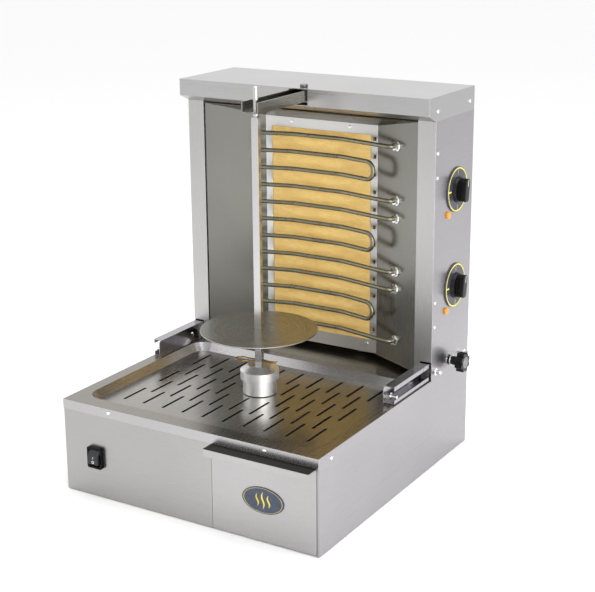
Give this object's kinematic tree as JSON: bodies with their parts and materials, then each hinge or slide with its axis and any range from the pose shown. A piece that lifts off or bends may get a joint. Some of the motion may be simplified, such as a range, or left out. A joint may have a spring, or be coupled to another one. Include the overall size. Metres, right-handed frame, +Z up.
{
  "type": "vertical rotisserie grill",
  "caption": "Countertop vertical rotisserie grill: drip deck with grease drawer, upright turning spit with disc, rear tower with hood and a sliding electric heating block.",
  "frame": {"origin": "on the floor under the feet, at the centre of the bounding box in plan", "axes": "+Z up along the spit, +X to the operator's right, the front with switch and drawer faces -Y"},
  "size_m": [0.594, 0.598, 0.722],
  "materials": {
    "casing_steel": "satin brushed stainless sheet",
    "hot_steel": "stainless sheet dulled by heat",
    "bright_steel": "ground stainless bar and shafts",
    "zinc_steel": "bright plated fasteners",
    "gear_steel": "oiled steel gears",
    "turned_alloy": "turned, fine circular marks",
    "cast_alloy": "sand cast",
    "clip_brass": "bright spring wire",
    "mineral_board": "matt pressed mineral board, heat stained",
    "element_sheath": "oxidised alloy tube",
    "black_plastic": "matt black moulding",
    "switch_black": "gloss black moulding",
    "dial_blue": "slate blue print with yellow marks",
    "lamp_amber": "clear amber lens",
    "foot_rubber": "moulded",
    "guide_nylon": "natural nylon",
    "motor_paint": "dark grey enamel",
    "badge_paint": "printed foil"
  },
  "bodies": {
    "casing": {"base_tray": "casing_steel", "side_panel_left": "casing_steel", "side_panel_right": "casing_steel", "front_panel": "casing_steel", "rear_cover": "casing_steel", "rubber_feet": "foot_rubber", "hood": "casing_steel", "pillar_left": "casing_steel", "pillar_right": "casing_steel", "top_deck": "casing_steel", "slotted_plate": "casing_steel", "tower_floor": "casing_steel", "drawer_runners": "casing_steel", "gearbox_housing": "cast_alloy", "motor_bracket": "casing_steel", "motor_can": "motor_paint", "arm_guide": "casing_steel", "guide_blocks": "guide_nylon", "clamp_nuts": "zinc_steel", "dial_plates": "dial_blue", "energy_regulators": "black_plastic", "pilot_lights": "lamp_amber", "switch_bezel": "switch_black", "cable_gland": "black_plastic", "panel_screws": "zinc_steel"},
    "drawer": {"drawer_front": "casing_steel", "drawer_tray": "casing_steel", "badge_plate": "badge_paint"},
    "spit": {"spit_rod": "bright_steel", "spit_disc": "bright_steel", "disc_pin": "bright_steel", "spit_clip": "clip_brass", "spit_coupling": "turned_alloy", "drive_shaft": "bright_steel", "drive_gear": "gear_steel"},
    "pinion": {"motor_pinion": "gear_steel"},
    "arm": {"top_arm": "casing_steel"},
    "arm_pad": {"arm_clamp_pad": "zinc_steel"},
    "arm_screw": {"arm_clamp_screw": "zinc_steel"},
    "heating_block": {"back_frame": "casing_steel", "reflector_board": "mineral_board", "board_tray": "casing_steel", "inner_wall_left": "hot_steel", "inner_wall_right": "hot_steel", "ceiling_plate": "hot_steel", "element_nuts": "zinc_steel", "heating_element_1": "element_sheath", "heating_element_2": "element_sheath", "heating_element_3": "element_sheath", "rail_left": "casing_steel", "rail_right": "casing_steel", "carriage_base": "casing_steel", "carriage_screws": "zinc_steel"},
    "shoe_left": {"clamp_shoe_left": "zinc_steel"},
    "shoe_right": {"clamp_shoe_right": "zinc_steel"},
    "star_left": {"star_knob_left": "black_plastic"},
    "star_right": {"star_knob_right": "black_plastic"},
    "dial_upper": {"control_knob_upper": "black_plastic"},
    "dial_lower": {"control_knob_lower": "black_plastic"},
    "rocker": {"switch_rocker": "switch_black"}
  },
  "joints": [
    {"name": "heating_block_slide", "type": "slide", "parent": "casing", "child": "heating_block", "axis": [0, -1, 0], "range_m": [0, 0.06]},
    {"name": "drawer_slide", "type": "slide", "parent": "casing", "child": "drawer", "axis": [0, -1, 0], "range_m": [0, 0.26]},
    {"name": "spit_turn", "type": "hinge", "parent": "casing", "child": "spit", "pos_m": [0, -0.037, 0], "axis": [0, 0, 1], "continuous": true},
    {"name": "pinion_turn", "type": "hinge", "parent": "casing", "child": "pinion", "pos_m": [0, 0.00425, 0], "axis": [0, 0, 1], "continuous": true},
    {"name": "arm_slide", "type": "slide", "parent": "casing", "child": "arm", "axis": [0, 1, 0], "range_m": [0, 0.07]},
    {"name": "arm_pad_lift", "type": "slide", "parent": "casing", "child": "arm_pad", "axis": [0, 0, 1], "range_m": [0, 0.002]},
    {"name": "arm_screw_turn", "type": "hinge", "parent": "arm_pad", "child": "arm_screw", "pos_m": [0, 0.126, 0.69], "axis": [0, 0, 1], "range_deg": [0, 720]},
    {"name": "shoe_left_slide", "type": "slide", "parent": "casing", "child": "shoe_left", "axis": [-1, 0, 0], "range_m": [0, 0.0025]},
    {"name": "star_left_turn", "type": "hinge", "parent": "shoe_left", "child": "star_left", "pos_m": [-0.265, 0.213, 0.1924], "axis": [-1, 0, 0], "range_deg": [0, 720]},
    {"name": "shoe_right_slide", "type": "slide", "parent": "casing", "child": "shoe_right", "axis": [1, 0, 0], "range_m": [0, 0.0025]},
    {"name": "star_right_turn", "type": "hinge", "parent": "shoe_right", "child": "star_right", "pos_m": [0.265, 0.213, 0.1924], "axis": [1, 0, 0], "range_deg": [0, 720]},
    {"name": "dial_upper_turn", "type": "hinge", "parent": "casing", "child": "dial_upper", "pos_m": [0.265, 0.223, 0.519], "axis": [-1, 0, 0], "range_deg": [0, 300]},
    {"name": "dial_lower_turn", "type": "hinge", "parent": "casing", "child": "dial_lower", "pos_m": [0.265, 0.223, 0.337], "axis": [-1, 0, 0], "range_deg": [0, 300]},
    {"name": "rocker_tip", "type": "hinge", "parent": "casing", "child": "rocker", "pos_m": [-0.195, -0.2725, 0.077], "axis": [1, 0, 0], "range_deg": [0, 22]}
  ],
  "couplings": [
    {"joint": "pinion_turn", "follows": "spit_turn", "ratio": -4.5},
    {"joint": "arm_screw_turn", "follows": "arm_pad_lift", "rad_per_m": 6283.1},
    {"joint": "star_left_turn", "follows": "shoe_left_slide", "rad_per_m": 5026.5},
    {"joint": "star_right_turn", "follows": "shoe_right_slide", "rad_per_m": 5026.5}
  ]
}
